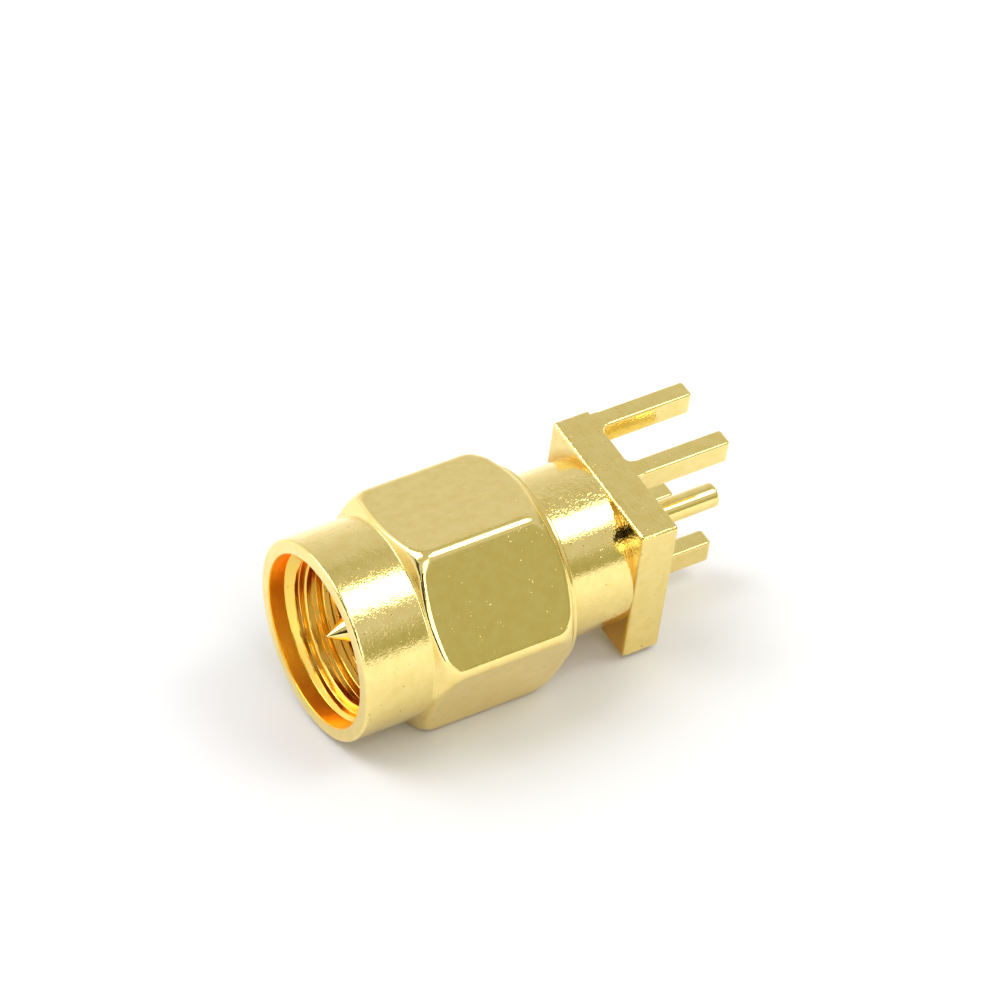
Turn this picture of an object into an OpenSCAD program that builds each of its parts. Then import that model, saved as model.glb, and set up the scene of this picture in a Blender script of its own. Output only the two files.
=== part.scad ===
// Edge-mount SMA plug: coupling nut, flanged body with board legs, and centre contact.
// The connector axis is X, with the mouth of the nut towards -X and the solder tail
// towards +X. X = 0 is the back face of the flange, which meets the edge of the board.
// +Z is up: the nut lies on one flat, and the body is rolled a little inside it.

/* [Coupling nut] */
// Across the flats of the hexagon
nut_af = 8.0; // [7.8:0.05:8.5]
// Whole length of the nut
nut_len = 8.75; // [8.5:0.05:10]
// Distance from the reference plane of the sleeve forward to the mouth of the nut
nut_proud = 2.9; // [2.7:0.05:3.4]
// Diameter of the round collars in front of the hexagon and behind it
collar_d = 7.65; // [7.5:0.05:7.95]
// Length of the front collar
collar_len = 2.75; // [2.2:0.05:3.4]
// Length of the narrow collar behind the hexagon
back_collar_len = 0.2; // [0.15:0.01:0.5]
// Angle of the turned chamfer on the front of the hexagon, measured from its end face
front_chamfer = 25; // [15:1:40]
// Angle of the turned chamfer on the back of the hexagon, measured from its end face
back_chamfer = 35; // [15:1:45]
// Metal turned off the six long edges of the hexagon
edge_cut = 0.06; // [0.02:0.01:0.15]
// Rounding of the outer edges of the two collars
rim_r = 0.12; // [0.05:0.01:0.15]
// Diameter of the plain counterbore in the mouth
mouth_d = 6.55; // [6.4:0.05:6.8]
// Depth of the counterbore
mouth_depth = 0.65; // [0.4:0.05:1]
// Crest diameter of the internal 1/4-36 thread
thread_minor_d = 5.65; // [5.6:0.01:5.75]
// Depth of the back end of the thread, measured from the mouth
thread_depth = 2.25; // [2:0.05:2.8]
// Angle of the lead-in chamfer, measured from the end face
lead_angle = 35; // [25:1:50]
// Diameter of the clearance bore behind the thread
relief_d = 6.55; // [6.5:0.05:6.8]
// Length of the land inside the nut, in front of the snap ring
nut_land_len = 0.5; // [0.4:0.1:0.8]

/* [Turning fit and snap ring] */
// Radial clearance between the nut and the barrel
nut_clear = 0.08; // [0.02:0.01:0.1]
// Width of the ring along the axis
ring_w = 0.6; // [0.4:0.05:0.7]
// Diameter of the ring over its inside, as it sits in the groove
ring_inner_d = 5.8; // [5.6:0.05:5.9]
// Diameter of the ring over its outside, as it sits in the groove
ring_outer_d = 6.9; // [6.8:0.05:7]
// Width of the opening in the ring
ring_gap = 1.6; // [0.8:0.1:2.5]
// Free space between the ring and the walls of its grooves
ring_play = 0.1; // [0.05:0.01:0.15]
// Diameter at the bottom of the groove in the body
groove_d = 5.3; // [5.1:0.05:5.5]
// Length of the land between the shoulder and the groove
land_len = 1.3; // [1:0.1:1.8]

/* [Body] */
// Diameter of the barrel
barrel_d = 6.3; // [6.2:0.05:6.35]
// Length from the front of the flange to the shoulder under the gasket
barrel_len = 6.7; // [6.5:0.05:8]
// Wall of the thin front sleeve, which stands round the insulator
sleeve_wall = 0.24; // [0.2:0.01:0.3]
// Length of the front sleeve, from the shoulder to the reference plane
sleeve_len = 1.85; // [1.8:0.05:2.1]
// Chamfer on the ends of the sleeve and of the barrel
turned_chamfer = 0.08; // [0.02:0.01:0.1]
// Side of the square flange
flange_w = 6.4; // [6.4:0.05:7.2]
// Thickness of the flange
flange_t = 1.5; // [1:0.1:2.5]
// Roll of the body inside the nut, as the connector lies
body_roll = 12.7; // [0:0.1:18]

/* [Board legs] */
// Length of the legs behind the flange
leg_len = 3.95; // [3:0.05:6]
// Thickness of a leg, across the board
leg_t = 0.75; // [0.5:0.05:0.9]
// Width of a leg, along the edge of the board
leg_w = 1; // [0.6:0.05:1.1]
// Rounding of the two long corners at the end of each leg
leg_end_r = 0.15; // [0.05:0.05:0.3]
// Thickness of the circuit board
board_t = 1.6; // [1:0.1:1.7]
// Free space on each side of the board between the legs
board_clear = 0.16; // [0.05:0.01:0.25]
// Fillet at the roots of the legs, inside the board slot
root_r = 0.25; // [0.1:0.05:0.4]

/* [Insulator and gasket] */
// Diameter of the insulator
insulator_d = 4.1; // [4:0.05:4.2]
// Radial clearance of the insulator and of the contact in it
press_clear = 0.005; // [0.002:0.001:0.01]
// Outside diameter of the gasket
gasket_d = 5.8; // [5.2:0.05:6]
// Thickness of the gasket
gasket_t = 0.6; // [0.4:0.05:0.8]
// Radial clearance of the gasket on the sleeve
gasket_clear = 0.02; // [0.01:0.01:0.05]

/* [Centre contact] */
// Diameter of the mating pin
pin_d = 0.92; // [0.9:0.005:0.94]
// Reach of the mating pin beyond the reference plane
pin_reach = 2.35; // [2:0.05:2.54]
// Included angle of the point
point_angle = 62; // [40:1:90]
// Diameter of the contact inside the insulator
core_d = 1.27; // [1.26:0.01:1.4]
// Diameter of the barb that grips the insulator
barb_d = 1.6; // [1.4:0.05:2]
// Length of the barb
barb_len = 0.7; // [0.4:0.05:1]
// Distance from the reference plane to the front of the barb
barb_inset = 4; // [2:0.1:6]
// Diameter of the solder tail
tail_d = 0.95; // [0.8:0.01:1]
// Length of the solder tail behind the flange
tail_len = 3.95; // [3:0.05:6]
// Chamfer on the end of the tail
tail_chamfer = 0.1; // [0.05:0.01:0.2]

/* [Hidden] */
$fn = 96;

gold = [0.85, 0.72, 0.36];
sleeve_d = insulator_d + 2 * (press_clear + sleeve_wall);
shoulder_x = -flange_t - barrel_len;
reference_x = shoulder_x - sleeve_len;
mouth_x = reference_x - nut_proud;
nut_back_x = mouth_x + nut_len;
nut_bore_r = barrel_d / 2 + nut_clear;
groove_x = shoulder_x + land_len;
groove_end_x = groove_x + ring_play + ring_w;
ring_x = groove_end_x - ring_w;
pin_base_x = reference_x - pin_reach + pin_d / 2 / tan(point_angle / 2);
barb_x = reference_x + barb_inset;
slot_w = board_t + 2 * board_clear;
slot_y = tail_d / 2 + board_t / 2;
overrun = 1;

// The corner between two lines at a right angle, outside a circle that touches both
module corner_sliver(r) {
  difference() {
    square(r);
    translate([r, r])
      circle(r = r);
  }
}

// A solid of revolution about X, from a profile of [radius, x] points
module turned(profile) {
  rotate([0, 90, 0])
    rotate_extrude()
      polygon(profile);
}

// A plain cylinder along X, from one position to another
module rod(d, from_x, to_x) {
  translate([from_x, 0, 0])
    rotate([0, 90, 0])
      cylinder(d = d, h = to_x - from_x);
}

// ---- Coupling nut ----

// Bar of hexagon stock along X, with flats above and below
module hexagon_bar() {
  translate([mouth_x - overrun, 0, 0])
    rotate([0, 90, 0])
      rotate(30)
        cylinder(d = nut_af / cos(30), h = nut_len + 2 * overrun, $fn = 6);
}

// Outside of the nut as it is turned from the bar: the two round collars, the chamfer
// cones between them, and a light cut that takes the sharp edges off the hexagon
module nut_envelope() {
  collar_r = collar_d / 2;
  far_r = nut_af / 2 / cos(30) - edge_cut;
  hex_x = mouth_x + collar_len;
  hex_back_x = nut_back_x - back_collar_len;
  turned([
    [0, mouth_x],
    for (a = [0:15:90]) [collar_r - rim_r * (1 - sin(a)), mouth_x + rim_r * (1 - cos(a))],
    [collar_r, hex_x],
    [far_r, hex_x + (far_r - collar_r) * tan(front_chamfer)],
    [far_r, hex_back_x - (far_r - collar_r) * tan(back_chamfer)],
    [collar_r, hex_back_x],
    for (a = [90:-15:0]) [collar_r - rim_r * (1 - sin(a)), nut_back_x - rim_r * (1 - cos(a))],
    [0, nut_back_x]
  ]);
}

// Inside of the nut: counterbore, lead-in, thread crests, relief, ring groove and bore
module nut_inside() {
  crest_r = thread_minor_d / 2;
  relief_r = relief_d / 2;
  groove_r = ring_outer_d / 2 + ring_play;
  lead_x = mouth_x + mouth_depth + (mouth_d / 2 - crest_r) * tan(lead_angle);
  thread_x = mouth_x + thread_depth;
  groove_front_x = ring_x - ring_play;
  groove_back_x = ring_x + ring_w + ring_play;
  turned([
    [0, mouth_x - overrun],
    [mouth_d / 2, mouth_x - overrun],
    [mouth_d / 2, mouth_x + mouth_depth],
    [crest_r, lead_x],
    [crest_r, thread_x],
    [relief_r, thread_x + relief_r - crest_r],
    [relief_r, groove_front_x - nut_land_len],
    [nut_bore_r, groove_front_x - nut_land_len],
    [nut_bore_r, groove_front_x],
    [groove_r, groove_front_x],
    [groove_r, groove_back_x],
    [nut_bore_r, groove_back_x],
    [nut_bore_r, nut_back_x + overrun],
    [0, nut_back_x + overrun]
  ]);
}

module coupling_nut() {
  color(gold)
    difference() {
      intersection() {
        hexagon_bar();
        nut_envelope();
      }
      nut_inside();
    }
}

// ---- Body ----

// Everything that is turned on the body: sleeve, shoulder, ring groove and barrel
module turned_body() {
  sleeve_r = sleeve_d / 2;
  barrel_r = barrel_d / 2;
  turned([
    [0, reference_x],
    [sleeve_r - turned_chamfer, reference_x],
    [sleeve_r, reference_x + turned_chamfer],
    [sleeve_r, shoulder_x],
    [barrel_r - turned_chamfer, shoulder_x],
    [barrel_r, shoulder_x + turned_chamfer],
    [barrel_r, groove_x],
    [groove_d / 2, groove_x],
    [groove_d / 2, groove_end_x],
    [barrel_r, groove_end_x],
    [barrel_r, -flange_t / 2],
    [0, -flange_t / 2]
  ]);
}

// Outline of the leg on one side of the board slot, with the fillet at its root;
// it is drawn from the slot outwards
module leg_outline() {
  start_x = -flange_t / 2;
  difference() {
    translate([start_x, 0])
      square([leg_len - start_x, leg_t]);
    translate([leg_len, 0])
      mirror([1, 0])
        corner_sliver(leg_end_r);
    translate([leg_len, leg_t])
      mirror([1, 0])
        mirror([0, 1])
          corner_sliver(leg_end_r);
  }
  mirror([0, 1])
    corner_sliver(root_r);
}

// One pair of legs with the board slot between them, milled from the flange
module leg_pair() {
  linear_extrude(leg_w)
    for (side = [0, 1])
      translate([0, slot_y])
        mirror([0, side])
          translate([0, slot_w / 2])
            leg_outline();
}

module connector_body() {
  half_w = flange_w / 2;
  color(gold)
    rotate([body_roll, 0, 0])
      difference() {
        union() {
          turned_body();
          translate([-flange_t, -half_w, -half_w])
            cube([flange_t, flange_w, flange_w]);
          for (z = [-half_w, half_w - leg_w])
            translate([0, 0, z])
              leg_pair();
        }
        rod(insulator_d + 2 * press_clear, reference_x - overrun, overrun);
      }
}

// ---- Snap ring and gasket ----

module retaining_ring() {
  color("goldenrod")
    difference() {
      rod(ring_outer_d, ring_x, ring_x + ring_w);
      rod(ring_inner_d, ring_x - overrun, ring_x + ring_w + overrun);
      translate([ring_x - overrun, -ring_gap / 2, -ring_outer_d])
        cube([ring_w + 2 * overrun, ring_gap, ring_outer_d]);
    }
}

module gasket() {
  color("firebrick")
    difference() {
      rod(gasket_d, shoulder_x - gasket_t, shoulder_x);
      rod(sleeve_d + 2 * gasket_clear, shoulder_x - gasket_t - overrun, shoulder_x + overrun);
    }
}

// ---- Insulator and contact ----

// The part of the contact that the insulator grips, grown by a radial clearance
module contact_middle(clear) {
  core_r = core_d / 2 + clear;
  turned([
    [0, reference_x],
    [core_r, reference_x],
    [core_r, barb_x],
    [barb_d / 2 + clear, barb_x],
    [core_r, barb_x + barb_len],
    [core_r, 0],
    [0, 0]
  ]);
}

module dielectric() {
  color("whitesmoke")
    difference() {
      rod(insulator_d, reference_x, 0);
      contact_middle(press_clear);
    }
}

module centre_contact() {
  color(gold) {
    turned([
      [0, reference_x - pin_reach],
      [pin_d / 2, pin_base_x],
      [pin_d / 2, reference_x],
      [0, reference_x]
    ]);
    contact_middle(0);
    turned([
      [0, 0],
      [tail_d / 2, 0],
      [tail_d / 2, tail_len - tail_chamfer],
      [tail_d / 2 - tail_chamfer, tail_len],
      [0, tail_len]
    ]);
  }
}

connector_body();
coupling_nut();
retaining_ring();
dielectric();
gasket();
centre_contact();
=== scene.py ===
import math

import bpy
import bmesh
from mathutils import Matrix, Vector


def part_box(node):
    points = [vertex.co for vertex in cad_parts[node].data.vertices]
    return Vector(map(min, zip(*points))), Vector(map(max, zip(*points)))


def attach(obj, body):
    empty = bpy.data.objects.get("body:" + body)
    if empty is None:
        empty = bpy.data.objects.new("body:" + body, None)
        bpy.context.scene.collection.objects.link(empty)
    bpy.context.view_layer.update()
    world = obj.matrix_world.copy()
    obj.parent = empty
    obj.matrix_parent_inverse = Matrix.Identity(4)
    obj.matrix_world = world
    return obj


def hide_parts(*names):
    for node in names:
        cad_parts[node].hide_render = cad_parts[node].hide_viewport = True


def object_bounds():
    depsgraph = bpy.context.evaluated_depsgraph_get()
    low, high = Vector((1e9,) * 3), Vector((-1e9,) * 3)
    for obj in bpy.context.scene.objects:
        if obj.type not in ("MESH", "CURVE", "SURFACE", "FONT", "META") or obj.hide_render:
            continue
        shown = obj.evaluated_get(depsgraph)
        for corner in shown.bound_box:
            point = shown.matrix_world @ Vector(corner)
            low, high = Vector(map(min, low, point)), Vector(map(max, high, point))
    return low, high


# Gold-plated SMA plug for a board edge. Pieces are drawn in millimetres along X,
# from the mouth of the nut towards the solder tail, then scaled to metres.
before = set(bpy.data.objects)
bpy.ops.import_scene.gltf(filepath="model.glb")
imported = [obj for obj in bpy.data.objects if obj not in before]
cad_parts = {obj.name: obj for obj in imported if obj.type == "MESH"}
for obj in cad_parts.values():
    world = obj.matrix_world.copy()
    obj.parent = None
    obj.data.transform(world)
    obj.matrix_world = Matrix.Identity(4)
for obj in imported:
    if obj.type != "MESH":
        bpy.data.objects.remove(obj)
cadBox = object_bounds()
print("frame loaded:", sorted(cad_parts))

mm = 0.001


def nodeBox(node):
    # lowest and highest corner of a CAD node, in millimetres
    low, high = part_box(node)
    return low / mm, high / mm


# Helpers for modelling. A profile is a list of points: x, then the distance from the axis.

def deselectAll():
    if bpy.context.object and bpy.context.object.mode != "OBJECT":
        bpy.ops.object.mode_set(mode="OBJECT")
    bpy.ops.object.select_all(action="DESELECT")


def makeActive(piece):
    deselectAll()
    piece.select_set(True)
    bpy.context.view_layer.objects.active = piece


def arcAtCorner(before, corner, after, radius, segments):
    # rounds one corner of a profile; the radius gives way where the sides are short
    a, c, b = Vector(before), Vector(corner), Vector(after)
    toA, toB = (a - c), (b - c)
    room = 0.45 * min(toA.length, toB.length)
    if radius <= 0 or room < 1e-6:
        return [tuple(c)]
    toA.normalize()
    toB.normalize()
    half = toA.angle(toB) / 2
    reach = min(radius / math.tan(half), room)
    r = reach * math.tan(half)
    centre = c + (toA + toB).normalized() * (r / math.sin(half))
    start, end = c + toA * reach - centre, c + toB * reach - centre
    turn = start.angle_signed(end)
    points = []
    for k in range(segments + 1):
        t = -turn * k / segments
        x = start.x * math.cos(t) - start.y * math.sin(t)
        y = start.x * math.sin(t) + start.y * math.cos(t)
        points.append((centre.x + x, centre.y + y))
    return points


def roundedProfile(corners, closed=False, segments=4, hold=0.03):
    # corners are (x, radius from the axis, rounding). Each rounding gets a holding
    # point on either side, so that flat and turned faces stay true when shaded.
    n = len(corners)
    points = []
    for i, (x, r, rounding) in enumerate(corners):
        if not closed and i in (0, n - 1):
            points.append((x, r))
            continue
        before, after = corners[i - 1][:2], corners[(i + 1) % n][:2]
        arc = arcAtCorner(before, (x, r), after, rounding, segments)
        if len(arc) > 1:
            for end, far, first in ((arc[0], before, True), (arc[-1], after, False)):
                gap = Vector(far) - Vector(end)
                step = min(hold, 0.3 * gap.length)
                held = tuple(Vector(end) + gap.normalized() * step)
                if first:
                    arc = [held] + arc
                else:
                    arc = arc + [held]
        points += arc
    return points


def wornProfile(corners, reaches):
    # a profile whose corners are all worn round, each over its reach on either side;
    # short steps melt into one soft curve. The places where it is sampled lie close
    # about the corners, always the same number of them and in the same order.
    path = [Vector(c) for c in corners]
    lengths = [0.0]
    for a, b in zip(path, path[1:]):
        lengths.append(lengths[-1] + (b - a).length)

    def swept(s):
        # running sum of the path from its start to s
        s = min(max(s, 0.0), lengths[-1])
        total = Vector((0.0, 0.0))
        for a, b, s0, s1 in zip(path, path[1:], lengths, lengths[1:]):
            if s <= s0 or s1 <= s0:
                break
            t = min(1.0, (s - s0) / (s1 - s0))
            total += (a + (a + (b - a) * t)) / 2 * (t * (s1 - s0))
        return total

    def reachAt(s):
        for s0, s1, here, there in zip(lengths, lengths[1:], reaches, reaches[1:]):
            if s <= s1:
                return here + (there - here) * (s - s0) / max(s1 - s0, 1e-9)
        return reaches[-1]

    places = []
    for before, s, after, reach in zip(lengths, lengths[1:], lengths[2:], reaches[1:]):
        span = min(1.25 * reach, 0.48 * (s - before)), min(1.25 * reach, 0.48 * (after - s))
        places += [s + span[k > 0] * k / 5 for k in range(-5, 6)]
    worn = []
    for place in places:
        reach = reachAt(place)
        worn.append((swept(place + reach) - swept(place - reach)) / (2 * reach))
    return [tuple(path[0])] + [tuple(p) for p in worn] + [tuple(path[-1])]


def drawProfile(name, points):
    # one vertex, extruded from point to point in the XZ plane
    deselectAll()
    bpy.ops.mesh.primitive_plane_add(size=0.1, location=(0, 0, 0))
    piece = bpy.context.active_object
    piece.name = piece.data.name = name
    bpy.ops.object.mode_set(mode="EDIT")
    bpy.ops.mesh.select_mode(type="VERT")
    bpy.ops.mesh.select_all(action="SELECT")
    bpy.ops.mesh.merge(type="CENTER")
    bpy.ops.transform.translate(value=(points[0][0], 0, points[0][1]))
    for here, there in zip(points, points[1:]):
        step = (there[0] - here[0], 0, there[1] - here[1])
        bpy.ops.mesh.extrude_region_move(TRANSFORM_OT_translate={"value": step})
    return piece


def spinProfile(name, points, steps, closed=False, angle=math.tau):
    # turns a profile about X; a closed profile gives a ring, an open one a solid
    # whose ends lie on the axis
    loop = list(points) + [points[0]] if closed else list(points)
    piece = drawProfile(name, loop)
    bpy.ops.mesh.select_all(action="SELECT")
    bpy.ops.mesh.remove_doubles(threshold=1e-5)
    bpy.ops.mesh.select_all(action="SELECT")
    bpy.ops.mesh.spin(steps=steps, angle=angle, center=(0, 0, 0), axis=(1, 0, 0))
    bpy.ops.mesh.select_all(action="SELECT")
    bpy.ops.mesh.remove_doubles(threshold=1e-4)
    bpy.ops.mesh.select_all(action="SELECT")
    bpy.ops.mesh.normals_make_consistent(inside=False)
    bpy.ops.object.mode_set(mode="OBJECT")
    return piece


def cutWith(piece, cutter, operation):
    makeActive(piece)
    cut = piece.modifiers.new("cut", "BOOLEAN")
    cut.operation = operation
    cut.solver = "EXACT"
    cut.object = cutter
    bpy.ops.object.modifier_apply(modifier=cut.name)
    bpy.data.objects.remove(cutter)


def finishPiece(piece, body, nodes, material, angle=30, milled=False):
    # to metres, shading, finish, and the place in the frame
    makeActive(piece)
    piece.scale = (mm, mm, mm)
    bpy.ops.object.transform_apply(location=True, rotation=True, scale=True)
    bpy.ops.object.shade_smooth_by_angle(angle=math.radians(angle))
    if milled:
        # keeps the shading of the large flat faces level
        level = piece.modifiers.new("levelFaces", "WEIGHTED_NORMAL")
        level.keep_sharp = True
        bpy.ops.object.modifier_apply(modifier=level.name)
    piece.data.materials.clear()
    piece.data.materials.append(material)
    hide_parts(*nodes)
    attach(piece, body)
    print("finished", piece.name, len(piece.data.polygons), "faces")
    return piece


# Helpers for the finishes, which all follow the piece's own coordinates.

def addNode(tree, kind, **inputs):
    node = tree.nodes.new(kind)
    for key, value in inputs.items():
        node.inputs[key.replace("_", " ")].default_value = value
    return node


def objectPoint(tree, scale=(1, 1, 1), turn=(0, 0, 0)):
    place = tree.nodes.new("ShaderNodeTexCoord")
    mapping = tree.nodes.new("ShaderNodeMapping")
    mapping.inputs["Scale"].default_value = scale
    mapping.inputs["Rotation"].default_value = turn
    tree.links.new(place.outputs["Object"], mapping.inputs["Vector"])
    return mapping.outputs["Vector"]


def splitAxes(tree, vector):
    axes = tree.nodes.new("ShaderNodeSeparateXYZ")
    tree.links.new(vector, axes.inputs["Vector"])
    return axes.outputs["X"], axes.outputs["Y"], axes.outputs["Z"]


def offAxis(tree):
    # distance from the axis of the plug
    off = tree.nodes.new("ShaderNodeVectorMath")
    off.operation = "LENGTH"
    tree.links.new(objectPoint(tree, (0, 1, 1)), off.inputs[0])
    return off.outputs["Value"]


def noise(tree, vector, size, detail=2.0, roughness=0.5):
    # size is about the width of one blot, in mm
    node = addNode(tree, "ShaderNodeTexNoise", Scale=1 / (size * mm), Detail=detail,
                   Roughness=roughness)
    tree.links.new(vector, node.inputs["Vector"])
    return node.outputs["Fac"]


def remap(tree, value, fromMin, fromMax, toMin=0.0, toMax=1.0):
    node = addNode(tree, "ShaderNodeMapRange", From_Min=fromMin, From_Max=fromMax,
                   To_Min=toMin, To_Max=toMax)
    tree.links.new(value, node.inputs["Value"])
    return node.outputs["Result"]


def combine(tree, operation, *values):
    node = tree.nodes.new("ShaderNodeMath")
    node.operation = operation
    for value, socket in zip(values, node.inputs):
        tree.links.new(value, socket)
    return node.outputs[0]


def bump(tree, height, distance, normal=None, amount=None):
    # distance is the height of the relief, in mm
    node = addNode(tree, "ShaderNodeBump", Strength=1.0, Distance=distance * mm)
    tree.links.new(height, node.inputs["Height"])
    if amount is not None:
        tree.links.new(amount, node.inputs["Strength"])
    if normal is not None:
        tree.links.new(normal, node.inputs["Normal"])
    return node.outputs["Normal"]


def mixColour(tree, factor, first, second):
    # first and second are colours or sockets
    node = tree.nodes.new("ShaderNodeMix")
    node.data_type = "RGBA"
    tree.links.new(factor, node.inputs["Factor"])
    for key, value in (("A", first), ("B", second)):
        if isinstance(value, tuple):
            node.inputs[key].default_value = value
        else:
            tree.links.new(value, node.inputs[key])
    return node.outputs["Result"]


# Bright gold plate over machined brass. Sizes and heights are in mm.
gold = {
    "colour": (0.945, 0.765, 0.30, 1),
    "deepColour": (0.89, 0.7, 0.24, 1),
    "cloudSize": 0.45,         # how quickly the plate drifts between the two
    "roughness": (0.06, 0.11),
    "smearSize": 1 / 2.6,
    "fineSize": 0.085,
    "coarseSize": 0.16,
    "markSize": 0.07,
    "boreReflectionColour": (1.0, 0.7, 0.14, 1),        # painted reflection: where gold mirrors gold it looks deeper
    "boreRoughness": 0.16,
    "boreGrain": 0.15,                        # share of the grain that is left there
    # painted reflection, deeper still in the mouth's hollow
    "mouthReflectionColour": (1.0, 0.55, 0.05, 1),
    "mouthRoughness": 0.28,
    "mouthGrain": 0.8,
    # painted shade: deep orange on the block's front, close round the barrel and low down
    "paintedShadeColour": (0.72, 0.4, 0.05, 1),
    "paintedShadeWidth": 0.45,
    "paintedShadeHeights": (-1.6, 0.4),
    "pitColour": (0.55, 0.4, 0.14, 1),
    "pitSize": 0.16,
    "pitLevels": (0.745, 0.79),               # noise above these is a pit
    "pitDepth": 0.012,
    "burrSize": 0.16,
    "burrHeight": 0.04,
    "burrBand": (0.17, 0.1),                  # inwards from the block's sides
}


def boreMasks(tree, x, bore):
    # 1 outside the bore's radius, and 1 as far in as the end of its mouth
    radius, end = bore["radius"] * mm, bore["mouthEnd"] * mm
    isOut = remap(tree, offAxis(tree), radius, radius + 0.03 * mm)
    isMouth = remap(tree, x, end - 0.02 * mm, end, 1.0, 0.0)
    return isOut, isMouth


def paintedShadeMask(tree, x, z, block):
    # painted shade: marks the front of the block close round the barrel and wherever it is low,
    # which is coloured a deep orange
    barrel, front = block["barrel"] * mm, block["front"] * mm
    low, high = gold["paintedShadeHeights"]
    off = offAxis(tree)
    isClose = remap(tree, off, barrel, barrel + gold["paintedShadeWidth"] * mm, 1.0, 0.0)
    isLow = remap(tree, z, low * mm, high * mm, 1.0, 0.0)
    isOutside = remap(tree, off, barrel - 0.02 * mm, barrel)
    isFront = remap(tree, x, front + 0.02 * mm, front + 0.06 * mm, 1.0, 0.0)
    return combine(tree, "MULTIPLY", combine(tree, "MAXIMUM", isClose, isLow),
                   combine(tree, "MULTIPLY", isOutside, isFront))


def edgeMask(tree, x, block):
    # the broken edges of the block: the four along X and those round its front
    point = objectPoint(tree, turn=(math.radians(-block["roll"]), 0, 0))
    y, z = (combine(tree, "ABSOLUTE", side) for side in splitAxes(tree, point)[1:])
    far, close = gold["burrBand"]
    start, end = (block["half"] - far) * mm, (block["half"] - close) * mm
    front = block["front"] * mm
    alongX = remap(tree, combine(tree, "MINIMUM", y, z), start, end)
    around = remap(tree, combine(tree, "MAXIMUM", y, z), start, end)
    isFront = remap(tree, x, front + close * mm, front + far * mm, 1.0, 0.0)
    return combine(tree, "MAXIMUM", alongX, combine(tree, "MINIMUM", around, isFront))


def goldFinish(name, turned, flat=None, border=0.0, pitted=False, bore=None, block=None):
    # turned is the skin of lathe-turned metal and flat that of milled faces, which begin
    # at the border along X; each has the height of its fine grain, its coarse grain and
    # its tool marks. A bore brings a painted deeper reflection inside it, and a square
    # block a painted shade on its front and its burred edges.
    material = bpy.data.materials.new(name)
    material.use_nodes = True
    tree = material.node_tree
    shader = tree.nodes["Principled BSDF"]
    shader.inputs["Metallic"].default_value = 1.0
    flat = flat or turned
    x, _, z = splitAxes(tree, objectPoint(tree))
    isFlat = remap(tree, x, (border - 0.05) * mm, (border + 0.05) * mm)

    cloud = noise(tree, objectPoint(tree), gold["cloudSize"], 4.0, 0.6)
    colour = mixColour(tree, remap(tree, cloud, 0.4, 0.7), gold["colour"], gold["deepColour"])
    if bore:
        # painted reflection: the inside of the bore takes a deeper gold, deeper still in its mouth
        isOut, isMouth = boreMasks(tree, x, bore)
        inner = mixColour(tree, isMouth, gold["boreReflectionColour"], gold["mouthReflectionColour"])
        colour = mixColour(tree, isOut, inner, colour)
    if block:
        # painted shade: deep orange on the front of the block round the barrel and low down
        colour = mixColour(tree, paintedShadeMask(tree, x, z, block), colour, gold["paintedShadeColour"])
    if pitted:
        pits = noise(tree, objectPoint(tree), gold["pitSize"], 1.0)
        pits = remap(tree, pits, *gold["pitLevels"])
        colour = mixColour(tree, pits, colour, gold["pitColour"])
    tree.links.new(colour, shader.inputs["Base Color"])

    smear = noise(tree, objectPoint(tree, (1, 0.4, 0.4)), gold["smearSize"], 4.0)
    polish = remap(tree, smear, 0.35, 0.7, *gold["roughness"])
    if bore:
        dull = remap(tree, isMouth, 0.0, 1.0, gold["boreRoughness"], gold["mouthRoughness"])
        isBore = remap(tree, isOut, 0.0, 1.0, 1.0, 0.0)
        polish = combine(tree, "MAXIMUM", polish, combine(tree, "MULTIPLY", dull, isBore))
    tree.links.new(polish, shader.inputs["Roughness"])

    fine = noise(tree, objectPoint(tree), gold["fineSize"], 2.0, 0.6)
    coarse = noise(tree, objectPoint(tree, (1, 0.5, 0.5)), gold["coarseSize"])
    marks = noise(tree, objectPoint(tree, (1, 0.04, 0.04)), gold["markSize"])
    normal = None
    for field, onTurned, onFlat in zip((fine, coarse, marks), turned, flat):
        height = max(onTurned, onFlat)
        if height:
            amount = remap(tree, isFlat, 0.0, 1.0, onTurned / height, onFlat / height)
            if bore:
                most = remap(tree, isMouth, 0.0, 1.0, gold["boreGrain"], gold["mouthGrain"])
                amount = combine(tree, "MINIMUM", amount, combine(tree, "MAXIMUM", isOut, most))
            normal = bump(tree, field, height, normal, amount)
    if block:
        # the plate builds up on the burr, so the broken edges glint unevenly
        burr = noise(tree, objectPoint(tree), gold["burrSize"], 2.0, 0.6)
        normal = bump(tree, burr, gold["burrHeight"], normal, edgeMask(tree, x, block))
    if pitted:
        dent = remap(tree, pits, 0.0, 1.0, 1.0, 0.0)
        normal = bump(tree, dent, gold["pitDepth"], normal)
    if normal is not None:
        tree.links.new(normal, shader.inputs["Normal"])
    return material


def softFinish(name, colour, roughness, grain, size, subsurface):
    # plastic and rubber: faint clouding and a fine grain, both of the given size
    material = bpy.data.materials.new(name)
    material.use_nodes = True
    tree = material.node_tree
    shader = tree.nodes["Principled BSDF"]
    field = noise(tree, objectPoint(tree), size, 4.0)
    clouded = mixColour(tree, remap(tree, field, 0.4, 0.8), (*colour, 1),
                        (*[c * 0.86 for c in colour], 1))
    tree.links.new(clouded, shader.inputs["Base Color"])
    tree.links.new(remap(tree, field, 0.3, 0.7, roughness, roughness + 0.12),
                   shader.inputs["Roughness"])
    shader.inputs["Subsurface Weight"].default_value = subsurface
    shader.inputs["Subsurface Scale"].default_value = 0.3 * mm
    tree.links.new(bump(tree, field, grain), shader.inputs["Normal"])
    return material


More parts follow.
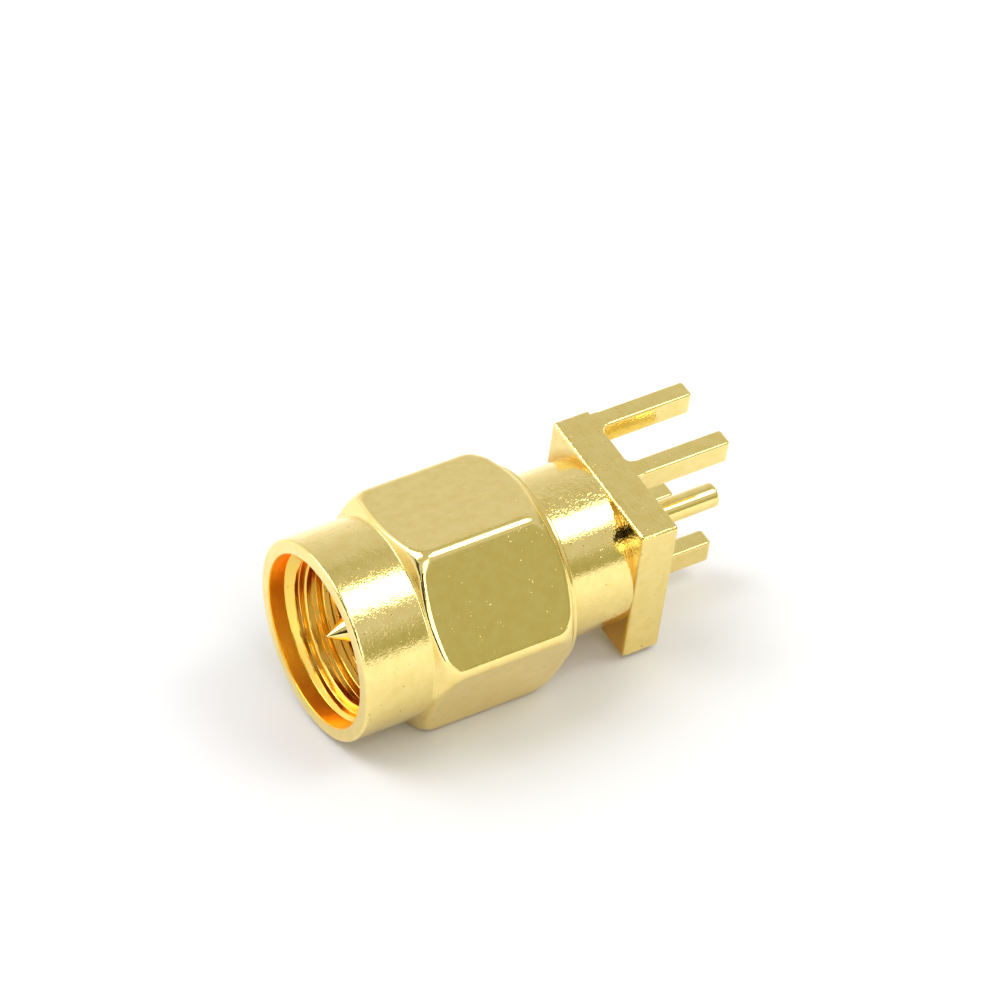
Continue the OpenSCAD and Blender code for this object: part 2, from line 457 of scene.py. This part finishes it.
# Coupling nut: a hexagon turned down to a collar at both ends, with a thread inside.
nut = {
    "acrossFlats": 8.0,
    "hexEdgeRadius": 0.5,      # rounding of the six long edges
    "collarRadius": 3.825,
    "collarLength": 2.75,
    "backCollar": 0.2,
    "frontChamfer": 25,        # degrees from the end face
    "backChamfer": 35,
    "wear": 0.17,              # how far every outer edge is worn round
    "rimWear": 0.13,
    "hollowWear": 0.05,
    "cornerWear": 0.36,        # further wear where the long edges meet the chamfers
    "cornerSpan": 0.8,
    "rimJoin": 0.12,           # where the inner and outer profiles meet on the end faces
    "mouthRadius": 3.275,
    "mouthDepth": 0.65,
    "leadAngle": 35,
    "crestRadius": 2.83,
    "crestShare": 0.22,        # of half a pitch
    "flankShare": 0.5,
    "threadRoot": 3.12,
    "threadPitch": 25.4 / 36,
    "threadEnd": 2.25,
    "threadStep": 0.016,
    "reliefRadius": 3.275,
    "landLength": 0.5,
    "boreRadius": 3.23,
    "grooveRadius": 3.55,
    "groovePlay": 0.1,         # on either side of the snap ring
    "insideRadius": 3.4,       # what is nearer the axis than this is the inside
    "steps": 288,
    "edgeCrowding": 0.6,       # draws the meridians together at the six edges
}

nutLow, nutHigh = nodeBox("coupling_nut")
ringLow, ringHigh = nodeBox("retaining_ring")
mouthX, nutBackX = nutLow.x, nutHigh.x
threadStartX = mouthX + nut["mouthDepth"]
threadEndX = mouthX + nut["threadEnd"] + nut["reliefRadius"] - nut["crestRadius"]
sixth = math.radians(60)

nutGold = goldFinish("nutGold", turned=(0.008, 0.01, 0.002), flat=(0.0016, 0.004, 0.0),
                     border=mouthX + nut["collarLength"], pitted=True,
                     bore={"radius": nut["mouthRadius"] + 0.025, "mouthEnd": threadStartX - 0.01})


def hexRadius(angle):
    # distance from the axis to the rounded hexagon, with an edge at every sixth of a turn
    off = (angle + sixth / 2) % sixth - sixth / 2
    r = nut["hexEdgeRadius"]
    flat = nut["acrossFlats"] / 2
    centre = (flat - r) / math.cos(sixth / 2)
    touch = math.atan2(r / 2, centre + r * math.cos(sixth / 2))
    if abs(off) < touch:
        return centre * math.cos(off) + math.sqrt(r * r - (centre * math.sin(off)) ** 2)
    return flat / math.cos(sixth / 2 - abs(off))


def cornerWear(angle):
    # rounds the outline of each flat at its four corners: most on the long edges of
    # the hexagon, fading to nothing a little way onto the flats
    flat = nut["acrossFlats"] / 2
    off = abs((angle + sixth / 2) % sixth - sixth / 2)
    away = flat * (math.tan(sixth / 2) - math.tan(sixth / 2 - off))
    fade = min(max(1 - away / nut["cornerSpan"], 0.0), 1.0)
    return nut["cornerWear"] * fade * fade * (3 - 2 * fade)


def nutOutside(far):
    # profile over the collar, the two chamfers and the hexagon of radius far
    collar = nut["collarRadius"]
    hexX = mouthX + nut["collarLength"]
    hexBackX = nutBackX - nut["backCollar"]
    rise = far - collar
    frontX = hexX + rise * math.tan(math.radians(nut["frontChamfer"]))
    backX = hexBackX - rise * math.tan(math.radians(nut["backChamfer"]))
    return [
        (mouthX, nut["mouthRadius"] + nut["rimJoin"]),
        (mouthX, collar),
        (hexX, collar),
        (frontX, far),
        (backX, far),
        (hexBackX, collar),
        (nutBackX, collar),
        (nutBackX, nut["boreRadius"] + nut["rimJoin"]),
    ]


def nutInside():
    slope = math.tan(math.radians(nut["leadAngle"]))
    crest, relief = nut["crestRadius"], nut["reliefRadius"]
    leadX = threadStartX + (nut["mouthRadius"] - crest) * slope
    threadX = mouthX + nut["threadEnd"]
    grooveX = ringLow.x - nut["groovePlay"]
    grooveEndX = ringHigh.x + nut["groovePlay"]
    landX = grooveX - nut["landLength"]
    return [
        (nutBackX, nut["boreRadius"] + nut["rimJoin"], 0.0),
        (nutBackX, nut["boreRadius"], 0.04),
        (grooveEndX, nut["boreRadius"], 0.0),
        (grooveEndX, nut["grooveRadius"], 0.0),
        (grooveX, nut["grooveRadius"], 0.0),
        (grooveX, nut["boreRadius"], 0.02),
        (landX, nut["boreRadius"], 0.02),
        (landX, relief, 0.02),
        (threadX + relief - crest, relief, 0.04),
        (threadX, crest, 0.0),
        (leadX, crest, 0.0),
        (threadStartX, nut["mouthRadius"], 0.03),
        (mouthX, nut["mouthRadius"], 0.06),
        (mouthX, nut["mouthRadius"] + nut["rimJoin"], 0.0),
    ]


def threadDepth(x, angle):
    # 0 on the crest of the right-hand thread, 1 in its root
    turn = (x - mouthX) / nut["threadPitch"] - angle / math.tau
    u = abs((turn % 1.0) - 0.5) * 2
    t = min(max((u - nut["crestShare"]) / nut["flankShare"], 0.0), 1.0)
    return 1 - t * t * (3 - 2 * t)


def nutMeridian(far, extra=0.0):
    # the whole closed profile of the nut; extra is the further wear at the corners of
    # the flats
    rim, hollow, end = nut["rimWear"], nut["hollowWear"], nut["wear"] + extra
    reaches = (rim, rim, hollow, end, end, hollow, rim, rim)
    points = wornProfile(nutOutside(far), reaches)[:-1] + roundedProfile(nutInside())[:-1]
    # fine steps along the threaded length
    fine = []
    for here, there in zip(points, points[1:] + points[:1]):
        fine.append(here)
        inner = max(here[1], there[1]) < nut["insideRadius"]
        if inner and threadStartX + 0.04 < (here[0] + there[0]) / 2 < threadEndX + 0.02:
            count = int(abs(there[0] - here[0]) / nut["threadStep"])
            for k in range(1, count):
                t = k / count
                fine.append((here[0] + (there[0] - here[0]) * t,
                             here[1] + (there[1] - here[1]) * t))
    return fine


def makeNut():
    # a round blank is spun, then each of its meridians takes the hexagon's reach at that
    # angle, and the thread is cut into the inside
    blank = nutMeridian(nut["acrossFlats"] / 2 / math.cos(sixth / 2))
    piece = spinProfile("nutShell", blank, nut["steps"], closed=True)
    index = {(round(x, 3), round(r, 3)): k for k, (x, r) in enumerate(blank)}
    meridians = {}
    depth = nut["threadRoot"] - nut["crestRadius"]
    for v in piece.data.vertices:
        x, r = v.co.x, math.hypot(v.co.y, v.co.z)
        angle = math.atan2(v.co.z, v.co.y)
        angle -= nut["edgeCrowding"] * math.sin(6 * angle) / 6
        key = round(angle, 5)
        if key not in meridians:
            meridians[key] = nutMeridian(hexRadius(angle), cornerWear(angle))
        k = index.get((round(x, 3), round(r, 3)))
        if k is None:
            k = min(range(len(blank)), key=lambda j: abs(blank[j][0] - x) + abs(blank[j][1] - r))
        newX, newR = meridians[key][k]
        if newR < nut["insideRadius"] and threadStartX < newX < threadEndX:
            cut = nut["crestRadius"] + depth * threadDepth(newX, angle)
            newR = max(newR, cut)
        v.co = (newX, newR * math.cos(angle), newR * math.sin(angle))
    piece.data.update()
    return finishPiece(piece, "nut", ["coupling_nut"], nutGold, 60)


makeNut()


# Body: turned barrel and sleeve, square flange and the four legs for the board.
shell = {
    "barrelRadius": 3.15,
    "sleeveRadius": 2.295,
    "boreRadius": 2.055,
    "grooveRadius": 2.65,
    "landLength": 1.3,
    "grooveLength": 0.7,
    "flangeSide": 6.4,
    "flangeThickness": 1.5,
    "roll": 12.7,
    "edge": 0.075,             # how far edges are broken: in the slot and at the roots,
    "legEdge": 0.1,            # on the legs,
    "outerEdge": 0.14,         # and round the flange
    "edgeSteps": 4,
    "legLength": 3.95,
    "legThickness": 0.75,
    "legWidth": 1.0,
    "legEnd": 0.15,
    "slotWidth": 1.92,
    "slotCentre": 1.275,
    "slotRoot": 0.25,
    "rootClear": 0.05,         # from the fillet to where a leg's broken edges begin
    "runOut": 0.12,            # and the length over which they run out
    "steps": 192,
}

insulatorLow, insulatorHigh = nodeBox("dielectric")
gasketLow, gasketHigh = nodeBox("gasket")
referenceX, shoulderX = insulatorLow.x, gasketHigh.x

bodyGold = goldFinish("bodyGold", turned=(0.006, 0.0045, 0.003), flat=(0.003, 0.004, 0.002),
                      border=-shell["flangeThickness"], pitted=True,
                      block={"half": shell["flangeSide"] / 2, "roll": shell["roll"],
                             "front": -shell["flangeThickness"],
                             "barrel": shell["barrelRadius"] + 0.02})


def selectBy(piece, kind, test):
    # picks edges or faces of the piece in edit mode by a test on their middle
    bpy.ops.mesh.select_mode(type=kind)
    bpy.ops.mesh.select_all(action="DESELECT")
    drawn = bmesh.from_edit_mesh(piece.data)
    if kind == "FACE":
        for face in drawn.faces:
            face.select_set(test(face.calc_center_median(), face.normal))
    else:
        for edge in drawn.edges:
            a, b = (v.co for v in edge.verts)
            edge.select_set(test((a + b) / 2, (b - a).normalized()))
    bmesh.update_edit_mesh(piece.data)


def sliceAt(place, normal):
    bpy.ops.mesh.select_all(action="SELECT")
    bpy.ops.mesh.bisect(plane_co=place, plane_no=normal)


def near(a, b, tolerance=1e-3):
    return abs(a - b) < tolerance


def breakEdges(piece):
    # the edges round the flange and on the legs are broken wider than the rest
    half, thick, legX = shell["flangeSide"] / 2, shell["flangeThickness"], shell["legLength"]
    steps = shell["edgeSteps"]

    def isSide(v):
        return abs(v) > half - 0.01

    selectBy(piece, "EDGE", lambda c, d: (isSide(c.y) and isSide(c.z))
             or (near(c.x, -thick) and (isSide(c.y) or isSide(c.z))))
    bpy.ops.mesh.bevel(offset=shell["outerEdge"], segments=steps, affect="EDGES")
    rootEnd = shell["slotRoot"] + shell["rootClear"]
    sliceAt((rootEnd, 0, 0), (1, 0, 0))
    sliceAt((rootEnd + shell["runOut"], 0, 0), (1, 0, 0))
    selectBy(piece, "EDGE", lambda c, d: abs(d.z) < 0.1
             and (c.x > legX - shell["legEnd"] or (abs(d.x) > 0.9 and c.x > rootEnd)))
    bpy.ops.mesh.bevel(offset=shell["legEdge"], segments=steps, affect="EDGES")

    makeActive(piece)
    soft = piece.modifiers.new("softEdges", "BEVEL")
    soft.width = shell["edge"]
    soft.segments = steps
    soft.limit_method = "ANGLE"
    soft.angle_limit = math.radians(40)
    bpy.ops.object.modifier_apply(modifier=soft.name)


def makeFlange():
    half = shell["flangeSide"] / 2
    thick = shell["flangeThickness"]
    deselectAll()
    bpy.ops.mesh.primitive_cube_add(size=1, location=(-thick / 2, 0, 0),
                                    scale=(thick, 2 * half, 2 * half))
    piece = bpy.context.active_object
    piece.name = piece.data.name = "connectorShell"
    bpy.ops.object.transform_apply(location=True, rotation=True, scale=True)
    bpy.ops.object.mode_set(mode="EDIT")
    middle, slot, leg = shell["slotCentre"], shell["slotWidth"], shell["legThickness"]
    yCuts = (middle - slot / 2 - leg, middle - slot / 2, middle + slot / 2, middle + slot / 2 + leg)
    zCuts = (half - shell["legWidth"], -half + shell["legWidth"])
    for y in yCuts:
        sliceAt((0, y, 0), (0, 1, 0))
    for z in zCuts:
        sliceAt((0, 0, z), (0, 0, 1))

    def legRoot(centre, normal):
        inLeg = yCuts[0] < centre.y < yCuts[1] or yCuts[2] < centre.y < yCuts[3]
        return normal.x > 0.9 and inLeg and abs(centre.z) > half - shell["legWidth"]

    selectBy(piece, "FACE", legRoot)
    bpy.ops.mesh.extrude_region_move(TRANSFORM_OT_translate={"value": (shell["legLength"], 0, 0)})
    bpy.ops.mesh.select_all(action="SELECT")
    bpy.ops.mesh.dissolve_limited(angle_limit=math.radians(1))

    # fillets at the slot side of each leg, then the rounded leg ends
    selectBy(piece, "EDGE", lambda c, d: near(c.x, 0) and abs(d.z) > 0.9
             and (near(c.y, yCuts[1]) or near(c.y, yCuts[2])))
    bpy.ops.mesh.bevel(offset=shell["slotRoot"], segments=5, affect="EDGES")
    selectBy(piece, "EDGE", lambda c, d: near(c.x, shell["legLength"]) and abs(d.z) > 0.9)
    bpy.ops.mesh.bevel(offset=shell["legEnd"], segments=4, affect="EDGES")
    breakEdges(piece)
    piece.rotation_euler.x = math.radians(shell["roll"])
    bpy.ops.object.transform_apply(location=True, rotation=True, scale=True)
    return piece


def makeBody():
    piece = makeFlange()
    barrel, sleeve = shell["barrelRadius"], shell["sleeveRadius"]
    grooveX = shoulderX + shell["landLength"]
    grooveEndX = grooveX + shell["grooveLength"]
    insideX = -shell["flangeThickness"] / 2
    turned = spinProfile("turnedBarrel", roundedProfile([
        (referenceX, 0, 0),
        (referenceX, sleeve, 0.08),
        (shoulderX, sleeve, 0.0),
        (shoulderX, barrel, 0.08),
        (grooveX, barrel, 0.03),
        (grooveX, shell["grooveRadius"], 0.0),
        (grooveEndX, shell["grooveRadius"], 0.0),
        (grooveEndX, barrel, 0.03),
        (insideX, barrel, 0.0),
        (insideX, 0, 0),
    ]), shell["steps"])
    cutWith(piece, turned, "UNION")
    bore = spinProfile("bore", [
        (referenceX - 1, 0), (referenceX - 1, shell["boreRadius"]),
        (1, shell["boreRadius"]), (1, 0)], shell["steps"])
    cutWith(piece, bore, "DIFFERENCE")
    return finishPiece(piece, "connector", ["connector_body"], bodyGold, 25,
                       milled=True)


makeBody()


# Centre contact: pointed pin, thicker middle with a barb, solder tail.
contact = {
    "pinRadius": 0.46,
    "pinReach": 2.35,
    "pointAngle": 62,
    "tipRadius": 0.02,
    "pointEdge": 0.1,
    "coreRadius": 0.635,
    "barbRadius": 0.8,
    "barbInset": 4.0,
    "barbLength": 0.7,
    "tailRadius": 0.475,
    "tailLength": 3.95,
    "tailEnd": 0.12,
    "steps": 96,
}

contactGold = goldFinish("contactGold", turned=(0.002, 0.0, 0.002))


def makeContact():
    tipX = referenceX - contact["pinReach"]
    pin, core = contact["pinRadius"], contact["coreRadius"]
    baseX = tipX + pin / math.tan(math.radians(contact["pointAngle"] / 2))
    barbX = referenceX + contact["barbInset"]
    tail, endX = contact["tailRadius"], contact["tailLength"]
    piece = spinProfile("centrePin", roundedProfile([
        (tipX, 0, 0),
        (tipX, contact["tipRadius"], 0.0),
        (baseX, pin, contact["pointEdge"]),
        (referenceX, pin, 0.0),
        (referenceX, core, 0.02),
        (barbX, core, 0.0),
        (barbX, contact["barbRadius"], 0.0),
        (barbX + contact["barbLength"], core, 0.0),
        (0, core, 0.02),
        (0, tail, 0.0),
        (endX, tail, contact["tailEnd"]),
        (endX, 0, 0),
    ]), contact["steps"])
    return finishPiece(piece, "connector", ["centre_contact"], contactGold, 30)


makeContact()


# Insulator: a plastic rod round the contact, with a seat for its barb.
insulator = {"clearance": 0.005, "edge": 0.03, "outerEdge": 0.04, "steps": 128}
whitePtfe = softFinish("whitePtfe", (0.9, 0.9, 0.88), 0.35, 0.003, 0.12, 0.3)


def makeInsulator():
    edge = insulator["edge"]
    outer = insulatorHigh.z
    inner = contact["coreRadius"] + insulator["clearance"]
    barbX = referenceX + contact["barbInset"]
    piece = spinProfile("insulatorSleeve", roundedProfile([
        (referenceX, inner, edge),
        (referenceX, outer, insulator["outerEdge"]),
        (insulatorHigh.x, outer, edge),
        (insulatorHigh.x, inner, edge),
        (barbX + contact["barbLength"], inner, 0.0),
        (barbX, contact["barbRadius"] + insulator["clearance"], 0.0),
        (barbX, inner, 0.0),
    ], closed=True), insulator["steps"], closed=True)
    return finishPiece(piece, "connector", ["dielectric"], whitePtfe, 30)


makeInsulator()


# Gasket: a rubber ring on the sleeve, against the shoulder.
gasket = {"clearance": 0.02, "innerEdge": 0.1, "outerEdge": 0.18, "steps": 128}
redSilicone = softFinish("redSilicone", (0.55, 0.06, 0.04), 0.42, 0.004, 0.15, 0.1)


def makeGasket():
    inner = shell["sleeveRadius"] + gasket["clearance"]
    piece = spinProfile("sealRing", roundedProfile([
        (gasketLow.x, inner, gasket["innerEdge"]),
        (gasketLow.x, gasketHigh.z, gasket["outerEdge"]),
        (gasketHigh.x, gasketHigh.z, gasket["outerEdge"]),
        (gasketHigh.x, inner, gasket["innerEdge"]),
    ], closed=True), gasket["steps"], closed=True)
    return finishPiece(piece, "connector", ["gasket"], redSilicone, 40)


makeGasket()


# Snap ring: open at the bottom, half in the body's groove and half in the nut's.
snapRing = {"innerRadius": 2.9, "opening": 1.6, "edge": 0.06, "steps": 120}
springBronze = goldFinish("springBronze", turned=(0.003, 0.0, 0.002))


def makeSnapRing():
    gap = 2 * math.asin(snapRing["opening"] / 2 / ringHigh.y)
    inner, outer, edge = snapRing["innerRadius"], ringHigh.z, snapRing["edge"]
    corners = roundedProfile([
        (ringLow.x, inner, edge),
        (ringLow.x, outer, edge),
        (ringHigh.x, outer, edge),
        (ringHigh.x, inner, edge),
    ], closed=True)
    piece = drawProfile("snapRing", corners + [corners[0]])
    bpy.ops.mesh.select_all(action="SELECT")
    bpy.ops.mesh.remove_doubles(threshold=1e-4)
    bpy.ops.mesh.select_all(action="SELECT")
    # starts beside the opening at the bottom
    bpy.ops.transform.rotate(value=math.pi - gap / 2, orient_axis="X", center_override=(0, 0, 0))
    bpy.ops.mesh.spin(steps=snapRing["steps"], angle=math.tau - gap, center=(0, 0, 0),
                      axis=(1, 0, 0))
    bpy.ops.mesh.select_all(action="DESELECT")
    bpy.ops.mesh.select_mode(type="EDGE")
    bpy.ops.mesh.select_non_manifold()
    bpy.ops.mesh.edge_face_add()
    bpy.ops.mesh.select_all(action="SELECT")
    bpy.ops.mesh.remove_doubles(threshold=1e-4)
    bpy.ops.mesh.select_all(action="SELECT")
    bpy.ops.mesh.normals_make_consistent(inside=False)
    bpy.ops.object.mode_set(mode="OBJECT")
    return finishPiece(piece, "connector", ["retaining_ring"], springBronze, 30)


makeSnapRing()


# Studio: camera, pale floor, lamps, and the room that the gold mirrors.
studio = {
    "azimuth": 30.5,           # heading of the view, from +Y towards +X
    "elevation": 36.25,
    "roll": -0.75,
    "distance": 215.34,
    "sideways": 4.463,         # where the origin stands in the view, in mm
    "upwards": -1.01,
    "lens": 212.3,
    "sensor": 36,
    "floorRadius": 8,          # in metres
    "floorColour": (0.88, 0.885, 0.92, 1),
    "floorLiftAndPaintedShadow": (0.81, 1.0),  # its paleness where it is seen, near the mouth and far off; the lower value near the mouth is a painted shadow
    "paintedShadowReach": (4, 18),     # in mm, from a point below the collar, over which the painted shadow fades out
    "glossyBounces": 20,       # gold deepens to orange where it faces gold
    "bounces": 24,
}


def makeCamera():
    a, e = math.radians(studio["azimuth"]), math.radians(studio["elevation"])
    right = Vector((math.cos(a), -math.sin(a), 0))
    ahead = Vector((math.sin(a) * math.cos(e), math.cos(a) * math.cos(e), -math.sin(e)))
    up = right.cross(ahead)
    roll = math.radians(studio["roll"])
    side = right * math.cos(roll) + up * math.sin(roll)
    top = up * math.cos(roll) - right * math.sin(roll)
    camera = bpy.data.objects.new("viewCamera", bpy.data.cameras.new("viewCamera"))
    bpy.context.scene.collection.objects.link(camera)
    place = -(side * studio["sideways"] + top * studio["upwards"] + ahead * studio["distance"])
    camera.location = place * mm
    camera.rotation_mode = "QUATERNION"
    camera.rotation_quaternion = Matrix((side, top, -ahead)).transposed().to_quaternion()
    camera.data.lens = studio["lens"]
    camera.data.sensor_width = studio["sensor"]
    camera.data.clip_start = 0.01
    camera.data.clip_end = 20
    bpy.context.scene.camera = camera


def makeFloor():
    level = cadBox[0].z
    deselectAll()
    bpy.ops.mesh.primitive_circle_add(vertices=96, radius=studio["floorRadius"],
                                      fill_type="NGON", location=(0, 0, level))
    floor = bpy.context.active_object
    floor.name = "studioFloor"
    bpy.ops.object.transform_apply(location=True, rotation=True, scale=True)
    material = bpy.data.materials.new("paleFloor")
    material.use_nodes = True
    tree = material.node_tree
    tree.nodes.clear()
    output = tree.nodes.new("ShaderNodeOutputMaterial")
    matte = tree.nodes.new("ShaderNodeBsdfDiffuse")
    path = tree.nodes.new("ShaderNodeLightPath")
    seen = combine(tree, "MAXIMUM", path.outputs["Is Camera Ray"], path.outputs["Is Glossy Ray"])
    seen = combine(tree, "MAXIMUM", seen, path.outputs["Is Transmission Ray"])
    # painted shadow: as seen by the camera and in the gold, the floor is darker close to a point
    # below the collar and paler further off
    away = tree.nodes.new("ShaderNodeVectorMath")
    away.operation = "DISTANCE"
    tree.links.new(objectPoint(tree), away.inputs[0])
    away.inputs[1].default_value = (cadBox[0].x * 0.7, 0, level)
    start, end = studio["paintedShadowReach"]
    paintedShadowFade = remap(tree, away.outputs["Value"], start * mm, end * mm)
    red, green, blue, _ = studio["floorColour"]
    lifted = [(red * lift, green * lift, blue * lift, 1) for lift in studio["floorLiftAndPaintedShadow"]]
    shown = mixColour(tree, seen, studio["floorColour"], mixColour(tree, paintedShadowFade, *lifted))
    tree.links.new(shown, matte.inputs["Color"])
    tree.links.new(matte.outputs[0], output.inputs["Surface"])
    floor.data.materials.append(material)


def heading(azimuth, elevation):
    a, e = math.radians(azimuth), math.radians(elevation)
    return Vector((math.sin(a) * math.cos(e), math.cos(a) * math.cos(e), math.sin(e)))


# distance and size in metres; a lamp keeps its radiance at any size
softboxes = [
    {"azimuth": 131, "elevation": 57, "distance": 2.0, "size": 0.775, "radiance": 4.6},
    {"azimuth": 312, "elevation": 45, "distance": 2.0, "size": 1.1, "radiance": 2.6},
    {"azimuth": 285, "elevation": 66, "distance": 2.0, "size": 0.9, "radiance": 4.0},
]


def makeLights():
    for box in softboxes:
        lamp = bpy.data.lights.new("softbox", "AREA")
        lamp.shape = "SQUARE"
        lamp.size = box["size"]
        lamp.energy = box["radiance"] * math.pi * box["size"] ** 2
        lampObject = bpy.data.objects.new("softbox", lamp)
        bpy.context.scene.collection.objects.link(lampObject)
        towards = heading(box["azimuth"], box["elevation"])
        lampObject.location = towards * box["distance"]
        lampObject.rotation_mode = "QUATERNION"
        lampObject.rotation_quaternion = towards.to_track_quat("Z", "Y")


# brightness of the room by the sine of the elevation, in front and behind, and patches
# over them: azimuth, half width, lowest and highest sine, brightness
room = {
    "frontAzimuth": 153,
    "frontFade": (-0.15, 0.35),
    "front": [(0.0, 0.5), (0.16, 0.47), (0.3, 0.53), (0.45, 0.72), (0.7, 0.72), (0.87, 0.66),
              (1.0, 0.62)],
    "back": [(0.0, 1.0), (0.17, 0.97), (0.33, 0.88), (0.47, 0.8), (0.6, 0.76), (0.72, 0.74),
             (0.8, 0.71), (0.855, 0.66), (0.875, 0.42), (0.895, 0.6), (1.0, 0.62)],
    "sideFade": 4,             # degrees
    "lowFade": 0.06,           # in sine
    "highFade": 0.08,
    "patches": [
        (190, 22, -0.1, 0.3, 1.2),
        (192, 22, 0.18, 0.85, 3.5),
        (208, 16, 0.32, 0.7, 0.01),
        (232, 23, -0.3, 0.4, 0.02),
        (257, 15, 0.3, 0.8, 0.08),
        (325, 30, -0.1, 0.8, 1.1),
    ],
}


def warmGrey(grey):
    # the darker the room, the warmer
    warm = 0.6 + 0.4 * min(max((grey - 0.48) / 0.27, 0.0), 1.0)
    return (grey, grey * 0.99, grey * warm, 1)


def rampOf(tree, value, stops):
    ramp = tree.nodes.new("ShaderNodeValToRGB")
    ramp.color_ramp.interpolation = "EASE"
    elements = ramp.color_ramp.elements
    while len(elements) > 1:
        elements.remove(elements[0])
    for k, (place, grey) in enumerate(stops):
        stop = elements[0] if k == 0 else elements.new(place)
        stop.position = place
        stop.color = warmGrey(grey)
    tree.links.new(value, ramp.inputs["Fac"])
    return ramp.outputs["Color"]


def levelDirection(tree, direction):
    # the flat part of a direction, with length 1
    level = tree.nodes.new("ShaderNodeVectorMath")
    level.operation = "MULTIPLY"
    level.inputs[1].default_value = (1, 1, 0)
    tree.links.new(direction, level.inputs[0])
    unit = tree.nodes.new("ShaderNodeVectorMath")
    unit.operation = "NORMALIZE"
    tree.links.new(level.outputs["Vector"], unit.inputs[0])
    return unit.outputs["Vector"]


def facing(tree, level, azimuth):
    # cosine of the angle between a level direction and an azimuth
    dot = tree.nodes.new("ShaderNodeVectorMath")
    dot.operation = "DOT_PRODUCT"
    dot.inputs[1].default_value = heading(azimuth, 0)
    tree.links.new(level, dot.inputs[0])
    return dot.outputs["Value"]


def makeWorld():
    world = bpy.data.worlds.new("studioRoom")
    bpy.context.scene.world = world
    world.use_nodes = True
    tree = world.node_tree
    tree.nodes.clear()
    output = tree.nodes.new("ShaderNodeOutputWorld")
    background = tree.nodes.new("ShaderNodeBackground")
    place = tree.nodes.new("ShaderNodeTexCoord")
    direction = place.outputs["Generated"]
    height = splitAxes(tree, direction)[2]
    level = levelDirection(tree, direction)
    toFront = remap(tree, facing(tree, level, room["frontAzimuth"]), *room["frontFade"])
    colour = mixColour(tree, toFront, rampOf(tree, height, room["back"]),
                       rampOf(tree, height, room["front"]))
    fade = room["sideFade"]
    for azimuth, halfWidth, low, high, grey in room["patches"]:
        edge = math.cos(math.radians(halfWidth + fade))
        core = math.cos(math.radians(halfWidth - fade))
        across = remap(tree, facing(tree, level, azimuth), edge, core)
        above = remap(tree, height, low, low + room["lowFade"])
        below = remap(tree, height, high - room["highFade"], high, 1.0, 0.0)
        inside = combine(tree, "MINIMUM", across, combine(tree, "MINIMUM", above, below))
        colour = mixColour(tree, inside, colour, warmGrey(grey))
    tree.links.new(colour, background.inputs["Color"])
    tree.links.new(background.outputs[0], output.inputs["Surface"])


makeCamera()
makeFloor()
makeLights()
makeWorld()
scene = bpy.context.scene
scene.view_settings.view_transform = "Standard"
scene.cycles.glossy_bounces = studio["glossyBounces"]
scene.cycles.max_bounces = studio["bounces"]
print("studio ready")
